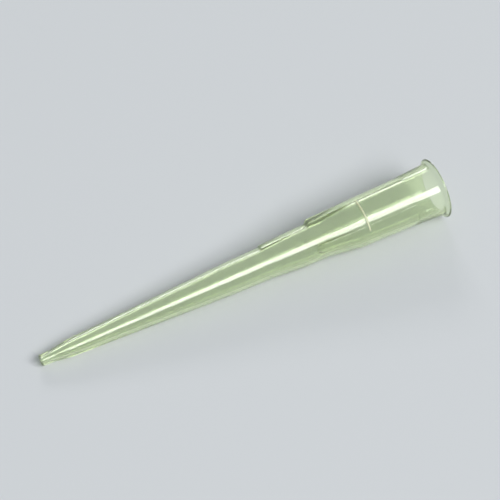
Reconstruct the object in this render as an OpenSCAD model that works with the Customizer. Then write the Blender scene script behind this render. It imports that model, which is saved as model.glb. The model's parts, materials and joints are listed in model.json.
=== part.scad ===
// Pipette tip: one moulding of clear, faintly yellow-green polypropylene.
// It lies on its side, and touches the surface at its nose and at the edge of its lip.

/* [Overall] */
// Length from the point to the rim of the mouth
tip_length = 50.8; // [42:0.1:62]
// Diameter of the tapered socket at its throat, just inside the lip
socket_d = 5.4; // [4.5:0.1:6.6]

/* [Point and cone] */
// Outside diameter of the point
point_od = 1.32; // [1.1:0.02:1.6]
// Length of the short land behind the point
land_len = 1.3; // [0.8:0.1:2.4]
// How much wider the land is at its upper end
land_gain = 0.08; // [0.04:0.02:0.2]
// Outside diameter where the steeper nose ends and the long cone begins
nose_od = 2; // [1.6:0.05:2.4]
// Length of the nose
nose_len = 2.1; // [1.2:0.1:4]
// Outside diameter at the wide end of the long cone
cone_od = 3.78; // [3.1:0.02:4.6]

/* [Stem and neck] */
// Length of the stem above the cone
stem_len = 4.6; // [3:0.1:8]
// How much wider the stem is at its upper end
stem_gain = 0.12; // [0.04:0.02:0.3]
// Length of the lower shoulder, from the stem to the neck
low_shoulder_len = 4; // [2.5:0.1:6]
// How much wider the lower shoulder is at its upper end
low_shoulder_gain = 0.66; // [0.3:0.02:0.8]
// Length of the neck
neck_len = 3.4; // [2.6:0.1:6]
// How much wider the neck is at its upper end
neck_gain = 0.06; // [0.02:0.02:0.16]

/* [Barrel] */
// Length of the upper shoulder, from the neck to the barrel
high_shoulder_len = 3.8; // [2.5:0.1:5]
// Length of the barrel
barrel_len = 7.1; // [4:0.1:12]
// Length of the collar between the barrel and the lip
collar_len = 3.35; // [2:0.05:5]
// How far the lower edge of the collar stands out of the barrel
collar_step = 0.05; // [0.02:0.01:0.1]

/* [Lip] */
// Length over which the lip flares out
lip_len = 0.55; // [0.5:0.05:1.2]
// How far the lip stands out of the collar
lip_flare = 0.42; // [0.3:0.02:0.7]
// Width of the lip's edge along the axis
lip_edge = 0.16; // [0.14:0.01:0.3]
// Wall of the lip at its end face
rim_wall = 0.33; // [0.3:0.01:0.45]

/* [Bore and walls] */
// Diameter of the orifice in the point
orifice_d = 0.5; // [0.4:0.02:0.7]
// Wall where the nose meets the long cone
nose_wall = 0.42; // [0.34:0.01:0.52]
// Wall of the stem
stem_wall = 0.38; // [0.34:0.01:0.5]
// Wall of the neck
neck_wall = 0.4; // [0.36:0.01:0.5]
// How much narrower the socket is at its deep end, where the barrel begins
socket_gain = 0.6; // [0.3:0.05:1]
// Wall at the lower end of the barrel
barrel_wall = 0.44; // [0.4:0.01:0.6]
// Wall at the upper end of the barrel
barrel_top_wall = 0.36; // [0.32:0.01:0.44]
// Wall at the upper end of the collar
collar_wall = 0.48; // [0.42:0.01:0.56]

/* [Ribs] */
// Width of each rib round the barrel
rib_w = 1.05; // [0.4:0.05:1.4]
// How far the ribs reach below the barrel
rib_reach = 5.5; // [4:0.1:7]
// Length of the slope at the lower end of each rib
rib_slope = 0.35; // [0.2:0.05:0.8]
// How far the lower step of the long rib reaches below the neck
step_reach = 4.35; // [2:0.05:5]
// How far the step stands out of the stem at its lower end
step_low = 0.2; // [0.1:0.01:0.26]
// How far the step stands out of the neck at its upper end
step_high = 0.03; // [0.02:0.01:0.1]
// Length of the slope at the lower end of that step
step_slope = 0.15; // [0.1:0.05:0.4]
// Angle from the long rib to the short rib on the ring mark's side
near_spread = 90; // [60:1:120]
// Angle from the long rib to the short rib on the other side
far_spread = 118; // [60:1:130]

/* [Ring mark] */
// Height of the ring mark above the lower end of the barrel
ring_up = 0.95; // [0.6:0.05:3.5]
// Width of the ring mark
ring_w = 0.18; // [0.1:0.02:0.3]
// How far the ring mark stands out of the barrel
ring_h = 0.12; // [0.06:0.01:0.14]
// Angle from the long rib to the near end of the ring mark
ring_from = 9; // [4:1:40]
// Angle that the ring mark spans
ring_span = 84; // [40:1:120]

/* [At rest] */
// How far the tip is rolled on its own axis, as the angle of the long rib from straight down
roll = 153.4; // [0:0.1:360]

/* [Hidden] */
$fn = 96;

// Heights along the axis, counted from the point
land_z = land_len;
nose_z = land_z + nose_len;
rim_z = tip_length;
collar_top_z = rim_z - lip_len;
collar_z = collar_top_z - collar_len;
barrel_z = collar_z - barrel_len;
neck_top_z = barrel_z - high_shoulder_len;
neck_z = neck_top_z - neck_len;
stem_z = neck_z - low_shoulder_len;
cone_z = stem_z - stem_len;

// Outside radii at those heights
point_r = point_od / 2;
land_r = point_r + land_gain / 2;
nose_r = nose_od / 2;
cone_r = cone_od / 2;
stem_r = cone_r + stem_gain / 2;
neck_r = stem_r + low_shoulder_gain / 2;
neck_top_r = neck_r + neck_gain / 2;
barrel_r = socket_r(barrel_z) + barrel_wall;
barrel_top_r = socket_r(collar_z) + barrel_top_wall;
collar_r = barrel_top_r + collar_step;
collar_top_r = socket_r(collar_top_z) + collar_wall;
lip_r = collar_top_r + lip_flare;
barrel_taper = (barrel_top_r - barrel_r) / barrel_len;

// Radii of edges and blends, all small against the wall that they lie on
point_round = 0.06;
nose_blend = 4;
stem_blend = 6;
shoulder_blend = 2.5;
flare_blend = 0.6;
rim_round = 0.06;
arc_step = 9;

// How deep the ring mark is rooted in the wall, and how far the bore's cutter overshoots
root = 0.25;
overshoot = 1;

function socket_r(z) = (socket_d - socket_gain * (collar_top_z - z) / (collar_top_z - barrel_z)) / 2;

function unit(v) = v / norm(v);

function turned(v, a) = [v.x * cos(a) - v.y * sin(a), v.x * sin(a) + v.y * cos(a)];

// The corner b between a and c, rounded by an arc of radius r, or left as it is where it hardly bends
function corner(a, b, c, r) =
    let (
        back = unit(a - b),
        on = unit(c - b),
        half = acos(back * on) / 2,
        bend = 180 - 2 * half,
        steps = max(2, ceil(bend / arc_step)),
        middle = b + unit(back + on) * r / sin(half),
        start = b + back * r / tan(half) - middle,
        turn = cross(b - a, c - b) > 0 ? bend : -bend
    )
    r == 0 || bend < 0.1 ? [b] : [for (i = [0:steps]) middle + turned(start, turn * i / steps)];

// A closed outline from a list of [point, blend radius]
function blended(list) =
    let (n = len(list))
    [for (i = [0:n - 1]) each corner(list[(i + n - 1) % n][0], list[i][0], list[(i + 1) % n][0], list[i][1])];

// Half outlines, as [radius, height], from the point up
outside = blended([
    [[0, 0], 0],
    [[point_r, 0], point_round],
    [[land_r, land_z], nose_blend],
    [[nose_r, nose_z], nose_blend],
    [[cone_r, cone_z], stem_blend],
    [[stem_r, stem_z], stem_blend],
    [[neck_r, neck_z], shoulder_blend],
    [[neck_top_r, neck_top_z], shoulder_blend],
    [[barrel_r, barrel_z], shoulder_blend],
    [[barrel_top_r, collar_z], 0],
    [[collar_r, collar_z], 0],
    [[collar_top_r, collar_top_z], flare_blend],
    [[lip_r, rim_z - lip_edge], rim_round],
    [[lip_r, rim_z], rim_round],
    [[0, rim_z], 0]
]);

inside = blended([
    [[orifice_d / 2, 0], 0],
    [[nose_r - nose_wall, nose_z], nose_blend],
    [[cone_r - stem_wall, cone_z], stem_blend],
    [[stem_r - stem_wall, stem_z], stem_blend],
    [[neck_r - neck_wall, neck_z], shoulder_blend],
    [[neck_top_r - neck_wall, neck_top_z], shoulder_blend],
    [[socket_r(barrel_z), barrel_z], shoulder_blend],
    [[socket_r(collar_top_z), collar_top_z], flare_blend],
    [[lip_r - rim_wall, rim_z], 0]
]);

// The ribs' crest keeps to the barrel's taper and ends level with the collar
function crest(z) = collar_r - (collar_z - z) * barrel_taper;

rib_z = barrel_z - rib_reach;
rib_outline = [
    [0, rib_z],
    [neck_top_r, rib_z],
    [crest(rib_z + rib_slope), rib_z + rib_slope],
    [collar_r, collar_z],
    [0, collar_z]
];

// The long rib has a lower step, which runs up into it just clear of the neck
step_z = neck_z - step_reach;
long_outline = [
    [0, step_z],
    [stem_r, step_z],
    [stem_r + step_low, step_z + step_slope],
    [neck_r + step_high, neck_z],
    [neck_top_r + step_high, rib_z],
    [crest(rib_z + rib_slope), rib_z + rib_slope],
    [collar_r, collar_z],
    [0, collar_z]
];

// Each rib as [angle from the long rib, outline]
ribs = [
    [-far_spread, rib_outline],
    [0, long_outline],
    [near_spread, rib_outline]
];

// A slice of a turned shape, with flat sides and a round crest; the bore is cut through it later
module rib(angle, outline) {
    rotate([0, 0, angle])
        intersection() {
            rotate_extrude()
                polygon(outline);
            translate([orifice_d, -rib_w / 2, 0])
                cube([lip_r, rib_w, rim_z]);
        }
}

module ring_mark() {
    ring_r = barrel_r + ring_up * barrel_taper;
    rotate([0, 0, ring_from])
        rotate_extrude(angle = ring_span)
            translate([ring_r - root, barrel_z + ring_up - ring_w / 2])
                square([root + ring_h, ring_w]);
}

module bore() {
    rotate_extrude()
        polygon(concat(
            [[0, -overshoot], [orifice_d / 2, -overshoot]],
            inside,
            [[lip_r - rim_wall, rim_z + overshoot], [0, rim_z + overshoot]]
        ));
}

// The tip upright on its point, with the long rib towards +X
module upright_tip() {
    difference() {
        union() {
            rotate_extrude()
                polygon(outside);
            for (r = ribs)
                rib(r[0], r[1]);
            ring_mark();
        }
        bore();
    }
}

// Where the tip balances along its axis, its ribs left out, from the volumes that the two outlines enclose
function sum(list) = list * [for (v = list) 1];
function edges(line) = [for (i = [1:len(line) - 1]) [line[i - 1], line[i]]];
function volume(line) = sum([for (e = edges(line))
    (e[1].y - e[0].y) * (e[0].x ^ 2 + e[0].x * e[1].x + e[1].x ^ 2) / 3]);
function moment(line) = sum([for (e = edges(line))
    (e[1].y - e[0].y) * (e[0].x ^ 2 * (3 * e[0].y + e[1].y) + 2 * e[0].x * e[1].x * (e[0].y + e[1].y)
        + e[1].x ^ 2 * (e[0].y + 3 * e[1].y)) / 12]);
balance_z = (moment(outside) - moment(inside)) / (volume(outside) - volume(inside));

// How far a direction round the axis is from straight down, from 0 to 180
function off_down(a) = abs((a % 360 + 540) % 360 - 180);

// At rest it touches one point on each side of its balance, and nothing reaches below the line through them
lowest = concat(
    outside,
    [for (r = ribs, p = r[1]) if (p.x > rib_w)
        [p.x * cos(max(0, off_down(roll + r[0]) - asin(rib_w / 2 / p.x))), p.y]]
);
lean = atan(min([for (p = lowest) if (p.y < balance_z)
    max([for (q = lowest) if (q.y > balance_z) (q.x - p.x) / (q.y - p.y)])]));
point_up = max([for (p = lowest) p.x * cos(lean) - p.y * sin(lean)]);

// The lying tip's box runs from the top of the point to the bottom of the lip
low_x = min([for (p = outside) p.y * cos(lean) - p.x * sin(lean)]);
high_x = max([for (p = outside) p.y * cos(lean) + p.x * sin(lean)]);

module pipette_tip() {
    color([0.80, 0.86, 0.66, 0.55])
        translate([-(low_x + high_x) / 2, 0, point_up])
            rotate([0, 90 - lean, 0])
                rotate([0, 0, roll])
                    upright_tip();
}

pipette_tip();
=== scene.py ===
# A pipette tip as it lies on a bench: one moulding of clear, faintly yellow-green polypropylene.
import json
import math

import bmesh
import bpy
from mathutils import Matrix, Vector


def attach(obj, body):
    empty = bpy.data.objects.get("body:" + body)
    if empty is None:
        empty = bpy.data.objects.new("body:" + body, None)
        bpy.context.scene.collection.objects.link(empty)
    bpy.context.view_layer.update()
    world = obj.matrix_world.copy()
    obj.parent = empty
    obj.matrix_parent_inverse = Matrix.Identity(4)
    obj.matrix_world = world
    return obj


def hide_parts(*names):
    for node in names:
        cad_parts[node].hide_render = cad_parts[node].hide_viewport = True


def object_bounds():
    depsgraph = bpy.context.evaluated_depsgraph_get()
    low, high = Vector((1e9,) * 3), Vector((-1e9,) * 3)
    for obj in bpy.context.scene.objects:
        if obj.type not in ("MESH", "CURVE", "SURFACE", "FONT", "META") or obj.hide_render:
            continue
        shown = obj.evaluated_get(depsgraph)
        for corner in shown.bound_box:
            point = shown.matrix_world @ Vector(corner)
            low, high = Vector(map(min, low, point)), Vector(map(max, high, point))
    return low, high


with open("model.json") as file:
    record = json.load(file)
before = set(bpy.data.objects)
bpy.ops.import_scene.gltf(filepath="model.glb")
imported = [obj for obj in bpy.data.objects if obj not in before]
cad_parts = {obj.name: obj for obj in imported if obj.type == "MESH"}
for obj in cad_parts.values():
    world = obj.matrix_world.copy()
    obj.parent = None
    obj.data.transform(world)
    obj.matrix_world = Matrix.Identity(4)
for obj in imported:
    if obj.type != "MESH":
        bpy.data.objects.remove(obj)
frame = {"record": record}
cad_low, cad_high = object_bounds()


# -------------------------------------------------------------------------------------------------
# The wall of the tip. The real one is injected between a polished cavity and a long steel core
# pin, so its outside and its bore are both turned shapes, and every shoulder is softly blended.
# It is modelled upright on its point, as it stands in the mould, and laid down at the end.

MM = 0.001

# Heights above the point
TIP_LENGTH = 50.8 * MM
LAND_Z = 1.3 * MM
NOSE_Z = 3.4 * MM
CONE_Z = 24.0 * MM
STEM_Z = 28.6 * MM
NECK_Z = 32.6 * MM
NECK_TOP_Z = 36.0 * MM
BARREL_Z = 39.8 * MM
COLLAR_Z = 46.9 * MM
THROAT_Z = 50.25 * MM
LIP_EDGE = 0.16 * MM

# Radii of the outside
POINT_R = 0.66 * MM
LAND_R = 0.70 * MM
NOSE_R = 1.0 * MM
CONE_R = 1.89 * MM
STEM_R = 1.95 * MM
NECK_R = 2.28 * MM
NECK_TOP_R = 2.31 * MM
BARREL_R = 2.84 * MM
BARREL_TOP_R = 2.964 * MM
COLLAR_R = 3.014 * MM
COLLAR_TOP_R = 3.18 * MM
LIP_R = 3.6 * MM

# The bore, by its own radii or by the wall that it leaves
ORIFICE_R = 0.25 * MM
NOSE_WALL = 0.42 * MM
STEM_WALL = 0.38 * MM
NECK_WALL = 0.4 * MM
SOCKET_END_R = 2.4 * MM
THROAT_R = 2.7 * MM
RIM_WALL = 0.33 * MM

# How far the blends reach to either side of a corner
POINT_ROUND = 0.05 * MM
EDGE_ROUND = 0.03 * MM
RIM_ROUND = 0.06 * MM
FLARE_BLEND = 0.2 * MM
THROAT_BLEND = 0.25 * MM
BLEND = 0.3 * MM
LONG_BLEND = 0.5 * MM
BLEND_STEPS = 5

# Each level is a height, a radius and a blend
OUTSIDE = [
    (0.0, POINT_R, POINT_ROUND),
    (LAND_Z, LAND_R, BLEND),
    (NOSE_Z, NOSE_R, BLEND),
    (CONE_Z, CONE_R, LONG_BLEND),
    (STEM_Z, STEM_R, LONG_BLEND),
    (NECK_Z, NECK_R, BLEND),
    (NECK_TOP_Z, NECK_TOP_R, BLEND),
    (BARREL_Z, BARREL_R, BLEND),
    (COLLAR_Z, BARREL_TOP_R, 0.0),
    (COLLAR_Z, COLLAR_R, EDGE_ROUND),
    (THROAT_Z, COLLAR_TOP_R, FLARE_BLEND),
    (TIP_LENGTH - LIP_EDGE, LIP_R, EDGE_ROUND),
    (TIP_LENGTH, LIP_R, RIM_ROUND),
]

# Columns round a turned shape, and how near a corner lies to a level to belong to it
COLUMNS = 160
SAME_HEIGHT = 0.0001 * MM
SAME_RADIUS = 0.001 * MM


def pick_ring(piece, height, radius):
    """Selects in edit mode the edges on the ring at this height and radius, and nothing else."""
    bpy.ops.mesh.select_all(action="DESELECT")
    cage = bmesh.from_edit_mesh(piece.data)
    for edge in cage.edges:
        edge.select = all(
            abs(corner.co.z - height) < SAME_HEIGHT
            and abs(math.hypot(corner.co.x, corner.co.y) - radius) < SAME_RADIUS
            for corner in edge.verts
        )
    cage.select_flush_mode()
    bmesh.update_edit_mesh(piece.data)


def turned(name, levels):
    """A solid of revolution: a disc drawn up from level to level, its shoulders then blended."""
    bpy.ops.object.select_all(action="DESELECT")
    z, r = levels[0][:2]
    bpy.ops.mesh.primitive_circle_add(
        vertices=COLUMNS, radius=r, fill_type="NGON", location=(0, 0, z)
    )
    bpy.ops.object.transform_apply(location=True, rotation=False, scale=False)
    made = bpy.context.object
    made.name = name
    bpy.ops.object.mode_set(mode="EDIT")
    bpy.ops.mesh.select_mode(type="FACE")
    bpy.ops.mesh.select_all(action="SELECT")
    for height, radius, _ in levels[1:]:
        bpy.ops.mesh.extrude_region_move(TRANSFORM_OT_translate={"value": (0, 0, height - z)})
        grow = radius / r
        bpy.ops.transform.resize(value=(grow, grow, 1), center_override=(0, 0, height))
        z, r = height, radius
    bpy.ops.mesh.select_all(action="SELECT")
    bpy.ops.mesh.normals_make_consistent(inside=False)
    bpy.ops.mesh.select_mode(type="EDGE")
    for height, radius, blend in levels:
        if blend:
            pick_ring(made, height, radius)
            bpy.ops.mesh.bevel(
                offset=blend, segments=BLEND_STEPS, affect="EDGES", clamp_overlap=False
            )
    bpy.ops.object.mode_set(mode="OBJECT")
    return made


tip = turned("pipette_tip_moulding", OUTSIDE)

# Polypropylene is clear but never quite: fine crystals scatter a little light, so the wall looks
# faintly milky, and the resin's yellow-green shows where light runs along inside the wall.
RESIN_IOR = 1.49
RESIN_DEPTH = "#f7fece"
RESIN_DENSITY = 600.0

# How high relief stands at full strength, and the dull patches that handling leaves
RELIEF_HEIGHT = 0.02 * MM
SCUFF_SIZE = 1.11 * MM


def linear(text):
    """An sRGB hex colour as linear red, green and blue."""
    parts = [int(text[i : i + 2], 16) / 255 for i in (1, 3, 5)]
    return [c / 12.92 if c <= 0.04045 else ((c + 0.055) / 1.055) ** 2.4 for c in parts]


def material(name):
    """A new material and its node tree, with nothing in it."""
    made = bpy.data.materials.new(name)
    made.use_nodes = True
    made.node_tree.nodes.clear()
    return made, made.node_tree


def node(tree, kind, settings=None, **links):
    """Adds a node, sets its sockets or properties by name and links other nodes' outputs to it."""
    made = tree.nodes.new(kind)
    for name, value in (settings or {}).items():
        if name in made.inputs:
            made.inputs[name].default_value = value
        else:
            setattr(made, name, value)
    for name, output in links.items():
        tree.links.new(output, made.inputs[name.replace("_", " ")])
    return made


def moulded(name, tint, clear, grain, relief, dullness):
    """Clear polypropylene with the skin of its mould: the grain's size, how strongly it is
    raised, and the least and most dullness."""
    made, tree = material(name)
    place = node(tree, "ShaderNodeTexCoord")
    texture = node(
        tree,
        "ShaderNodeTexNoise",
        {"Scale": 1 / grain, "Detail": 1.0, "Roughness": 0.4},
        Vector=place.outputs["Object"],
    )
    raised = node(
        tree,
        "ShaderNodeBump",
        {"Strength": relief, "Distance": RELIEF_HEIGHT},
        Height=texture.outputs["Fac"],
    )
    scuffs = node(
        tree,
        "ShaderNodeTexNoise",
        {"Scale": 1 / SCUFF_SIZE, "Detail": 3.0, "Roughness": 0.6},
        Vector=place.outputs["Object"],
    )
    dulled = node(
        tree,
        "ShaderNodeMapRange",
        {"From Min": 0.35, "From Max": 0.7, "To Min": dullness[0], "To Max": dullness[1]},
        Value=scuffs.outputs["Fac"],
    )
    skin = node(
        tree,
        "ShaderNodeBsdfPrincipled",
        {"Base Color": (*linear(tint), 1), "IOR": RESIN_IOR, "Transmission Weight": clear},
        Roughness=dulled.outputs["Result"],
        Normal=raised.outputs["Normal"],
    )
    resin = node(
        tree,
        "ShaderNodeVolumeAbsorption",
        {"Color": (*linear(RESIN_DEPTH), 1), "Density": RESIN_DENSITY},
    )
    node(
        tree,
        "ShaderNodeOutputMaterial",
        Surface=skin.outputs["BSDF"],
        Volume=resin.outputs["Volume"],
    )
    return made


# Off the polished steel: a smooth skin that waves a little, where the plastic shrank as it cooled.
plastic = moulded(
    "polypropylene_moulded",
    tint="#eef6e4",
    clear=0.88,
    grain=3.85 * MM,
    relief=0.05,
    dullness=(0.045, 0.1),
)
tip.data.materials.append(plastic)


# -------------------------------------------------------------------------------------------------
# The ribs. Three straight ribs on the outside of the neck and barrel are cut into the same cavity,
# so they are one with the wall. Their sides are flat and their crests round. Each starts in a
# short slope and runs up level with the collar, and the long one has a lower step besides.

RIB_W = 1.05 * MM
RIB_Z = 34.3 * MM
RIB_SLOPE = 0.35 * MM
RIB_SUNK = 0.1 * MM
RIB_EDGE = 0.05 * MM
STEP_Z = 28.25 * MM
STEP_SLOPE = 0.15 * MM
STEP_LOW = 0.2 * MM
STEP_HIGH = 0.03 * MM
SHARP = math.radians(30)
BARREL_TAPER = (BARREL_TOP_R - BARREL_R) / (COLLAR_Z - BARREL_Z)

# Degrees round the tip: the rear rib, the long one and the front one
LONG_RIB_ANGLE = 0
RIB_ANGLES = [-118, LONG_RIB_ANGLE, 90]

CREST = [
    (RIB_Z + RIB_SLOPE, COLLAR_R - (COLLAR_Z - RIB_Z - RIB_SLOPE) * BARREL_TAPER, 0.0),
    (COLLAR_Z + RIB_SUNK, COLLAR_R, 0.0),
]
RIB = [(RIB_Z, NECK_TOP_R, 0.0)] + CREST
LONG_RIB = [
    (STEP_Z, STEM_R, 0.0),
    (STEP_Z + STEP_SLOPE, STEM_R + STEP_LOW, 0.0),
    (NECK_Z, NECK_R + STEP_HIGH, 0.0),
    (RIB_Z, NECK_TOP_R + STEP_HIGH, 0.0),
] + CREST


def use(piece, kind, **settings):
    """Adds a modifier to a piece and applies it."""
    bpy.ops.object.select_all(action="DESELECT")
    bpy.context.view_layer.objects.active = piece
    piece.select_set(True)
    modifier = piece.modifiers.new(kind.lower(), kind)
    for name, value in settings.items():
        setattr(modifier, name, value)
    bpy.ops.object.modifier_apply(modifier=modifier.name)


for n, angle in enumerate(RIB_ANGLES, start=1):
    crest = turned(f"crest_{n}", LONG_RIB if angle == LONG_RIB_ANGLE else RIB)
    # A block from within the still solid tip out past the lip keeps one slice of the crest.
    bpy.ops.object.select_all(action="DESELECT")
    bpy.ops.mesh.primitive_cube_add(size=1, location=(LIP_R, 0, TIP_LENGTH / 2))
    rib = bpy.context.object
    rib.name = f"rib_{n}"
    bpy.ops.transform.resize(value=(2 * LIP_R - CONE_R, RIB_W, TIP_LENGTH))
    bpy.ops.object.transform_apply(location=True, rotation=False, scale=True)
    use(rib, "BOOLEAN", operation="INTERSECT", solver="EXACT", object=crest)
    bpy.data.objects.remove(crest)
    use(rib, "BEVEL", width=RIB_EDGE, segments=3, limit_method="ANGLE", angle_limit=SHARP)
    rib.rotation_euler.z = math.radians(angle)
    bpy.ops.object.transform_apply(location=False, rotation=True, scale=False)
    use(tip, "BOOLEAN", operation="UNION", solver="EXACT", object=rib)
    bpy.data.objects.remove(rib)


# -------------------------------------------------------------------------------------------------
# The ring mark. A line engraved in the cavity leaves a fine raised thread part of the way round
# the barrel, a filling mark for the eye. The cutter's track isn't polished, so the thread is dull.

RING_Z = BARREL_Z + 0.95 * MM
RING_W = 0.18 * MM
RING_H = 0.12 * MM
RING_ROOT = 0.25 * MM
RING_EDGE = 0.02 * MM
RING_FROM = math.radians(9)
RING_SPAN = math.radians(84)
RING_STEPS = 40

bpy.ops.object.select_all(action="DESELECT")
bpy.ops.mesh.primitive_plane_add(size=1, location=(0, 0, 0))
ring = bpy.context.object
ring.name = "ring_mark"
bpy.ops.object.mode_set(mode="EDIT")
bpy.ops.mesh.select_all(action="SELECT")
bpy.ops.transform.resize(value=(RING_ROOT + RING_H, RING_W, 1), center_override=(0, 0, 0))
bpy.ops.transform.rotate(value=math.pi / 2, orient_axis="X", center_override=(0, 0, 0))
ring_r = BARREL_R + (RING_Z - BARREL_Z) * BARREL_TAPER
bpy.ops.transform.translate(value=(ring_r + (RING_H - RING_ROOT) / 2, 0, RING_Z))
bpy.ops.transform.rotate(value=-RING_FROM, orient_axis="Z", center_override=(0, 0, 0))
bpy.ops.mesh.spin(
    steps=RING_STEPS, angle=-RING_SPAN, center=(0, 0, 0), axis=(0, 0, 1), dupli=False
)
bpy.ops.mesh.select_all(action="SELECT")
bpy.ops.mesh.normals_make_consistent(inside=False)
bpy.ops.object.mode_set(mode="OBJECT")
use(ring, "BEVEL", width=RING_EDGE, segments=2, limit_method="ANGLE", angle_limit=SHARP)

# Off the bottom of the engraved groove, which the cutter leaves grainy, so it looks duller and
# yellower. The cutter's marks are finer still, and are drawn this coarse to show.
engraved = moulded(
    "polypropylene_engraved",
    tint="#fafbd8",
    clear=0.42,
    grain=0.0625 * MM,
    relief=0.3,
    dullness=(0.32, 0.48),
)
ring.data.materials.append(engraved)
use(tip, "BOOLEAN", operation="UNION", solver="EXACT", material_mode="TRANSFER", object=ring)
bpy.data.objects.remove(ring)


# -------------------------------------------------------------------------------------------------
# The bore. The core pin leaves a turned bore right through: an orifice in the point, a long cone,
# and the tapered socket that grips a pipette's nozzle. Nothing is cut afterwards, so it is as
# smooth as the pin.

PIN_SPARE = 1 * MM
BORE = [
    (-PIN_SPARE, ORIFICE_R, 0.0),
    (0.0, ORIFICE_R, 0.0),
    (NOSE_Z, NOSE_R - NOSE_WALL, BLEND),
    (CONE_Z, CONE_R - STEM_WALL, LONG_BLEND),
    (STEM_Z, STEM_R - STEM_WALL, LONG_BLEND),
    (NECK_Z, NECK_R - NECK_WALL, BLEND),
    (NECK_TOP_Z, NECK_TOP_R - NECK_WALL, BLEND),
    (BARREL_Z, SOCKET_END_R, BLEND),
    (THROAT_Z, THROAT_R, THROAT_BLEND),
    (TIP_LENGTH, LIP_R - RIM_WALL, 0.0),
    (TIP_LENGTH + PIN_SPARE, LIP_R - RIM_WALL, 0.0),
]
WELD = 0.0001 * MM

pin = turned("core_pin", BORE)
use(tip, "BOOLEAN", operation="DIFFERENCE", solver="EXACT", object=pin)
bpy.data.objects.remove(pin)

# Where faces crossed, corners that fall on one another become one, and no empty sliver is left.
use(tip, "WELD", merge_threshold=WELD)


# -------------------------------------------------------------------------------------------------
# The lying tip. Drawn off the pin, it rests on its nose and on the edge of its lip. Its axis and
# its socket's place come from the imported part, and the long rib is rolled up and to the back.

ROLL = math.radians(153.4)
SMOOTH = math.radians(24)

bpy.ops.object.shade_smooth_by_angle(angle=SMOOTH)
use(tip, "WEIGHTED_NORMAL", mode="FACE_AREA", keep_sharp=True)

socket = next(m for m in frame["record"]["mounts"] if m["name"] == "nozzle_socket")
lean = math.atan2(socket["axis"][2], socket["axis"][0])
tip.matrix_world = (
    Matrix.Translation(Vector(socket["pos_m"]))
    @ Matrix.Rotation(math.pi / 2 - lean, 4, "Y")
    @ Matrix.Rotation(ROLL, 4, "Z")
    @ Matrix.Translation((0, 0, -THROAT_Z))
)
bpy.ops.object.transform_apply(location=True, rotation=True, scale=True)

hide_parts("pipette_tip")
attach(tip, "root")


# -------------------------------------------------------------------------------------------------
# The bench. A laminate top, plain and pale, and matt enough to show only a soft shadow. It is set
# a hair below the tip, so that the two surfaces never lie in one plane.

BENCH_SIZE = 8
BENCH_GAP = 0.02 * MM
BENCH_COLOUR = "#ced1d3"
BENCH_DULLNESS = 0.6

bpy.ops.object.select_all(action="DESELECT")
bpy.ops.mesh.primitive_plane_add(size=BENCH_SIZE, location=(0, 0, cad_low.z - BENCH_GAP))
bench = bpy.context.object
bench.name = "bench_top"
laminate, tree = material("laminate_matt")
top = node(
    tree,
    "ShaderNodeBsdfPrincipled",
    {"Base Color": (*linear(BENCH_COLOUR), 1), "Roughness": BENCH_DULLNESS},
)
node(tree, "ShaderNodeOutputMaterial", Surface=top.outputs["BSDF"])
bench.data.materials.append(laminate)


# -------------------------------------------------------------------------------------------------
# The light. A softbox in front and above draws the long bright line down the tip, a weaker one
# behind picks out its far edge, and the grey room fills the rest.

ROOM_COLOUR = "#c4cad0"
ROOM_LEVEL = 0.45
WALL_COLOUR = "#ced3d6"
WALL_LEVEL = 1.0


def softbox(name, side, distance, size, power):
    """A rectangular lamp of (width, height) that looks at the tip from this side."""
    bpy.ops.object.light_add(type="AREA")
    lamp = bpy.context.object
    lamp.name = name
    lamp.data.shape = "RECTANGLE"
    lamp.data.size, lamp.data.size_y = size
    lamp.data.energy = power
    back = Vector(side).normalized()
    lamp.location = back * distance
    lamp.rotation_euler = back.to_track_quat("Z", "Y").to_euler()


softbox("softbox_front", side=(0.26, -0.66, 0.70), distance=2.0, size=(1.5, 0.9), power=41.0)
softbox("softbox_back", side=(0.26, 0.875, 0.41), distance=2.0, size=(0.75, 0.4), power=7.0)

world = bpy.data.worlds.new("room")
world.use_nodes = True
room = world.node_tree
room.nodes.clear()
grey = node(
    room,
    "ShaderNodeBackground",
    {"Color": (*linear(ROOM_COLOUR), 1), "Strength": ROOM_LEVEL},
)
pale = node(
    room,
    "ShaderNodeBackground",
    {"Color": (*linear(WALL_COLOUR), 1), "Strength": WALL_LEVEL},
)
# What the camera sees beyond the bench, straight or by way of gloss or clear plastic, is a pale
# wall that lights nothing else.
ray = node(room, "ShaderNodeLightPath")
seen = ray.outputs["Is Camera Ray"]
for kind in ("Is Glossy Ray", "Is Transmission Ray"):
    either = node(room, "ShaderNodeMath", {"operation": "MAXIMUM"})
    room.links.new(seen, either.inputs[0])
    room.links.new(ray.outputs[kind], either.inputs[1])
    seen = either.outputs["Value"]
backdrop = node(room, "ShaderNodeMixShader", Fac=seen)
room.links.new(grey.outputs["Background"], backdrop.inputs[1])
room.links.new(pale.outputs["Background"], backdrop.inputs[2])
node(room, "ShaderNodeOutputWorld", Surface=backdrop.outputs["Shader"])
bpy.context.scene.world = world


# -------------------------------------------------------------------------------------------------
# The camera. A long lens well back from the tip, on its point's side and high enough that the
# throat shows through the clear lip. The small shift only frames the tip.

AZIMUTH = math.radians(-27.6)
ELEVATION = math.radians(49.3)
DISTANCE = 0.6
AIM_Z = 2 * MM
LENS = 380
SHIFT = (0.0169, 0.0485)
CLIP_END = 10

back = Vector(
    (
        math.sin(AZIMUTH) * math.cos(ELEVATION),
        -math.cos(AZIMUTH) * math.cos(ELEVATION),
        math.sin(ELEVATION),
    )
)
bpy.ops.object.camera_add()
camera = bpy.context.object
camera.data.lens = LENS
camera.data.shift_x, camera.data.shift_y = SHIFT
camera.data.clip_end = CLIP_END
camera.location = Vector((0, 0, AIM_Z)) + back * DISTANCE
camera.rotation_euler = back.to_track_quat("Z", "Y").to_euler()
bpy.context.scene.camera = camera
bpy.context.scene.view_settings.view_transform = "Standard"
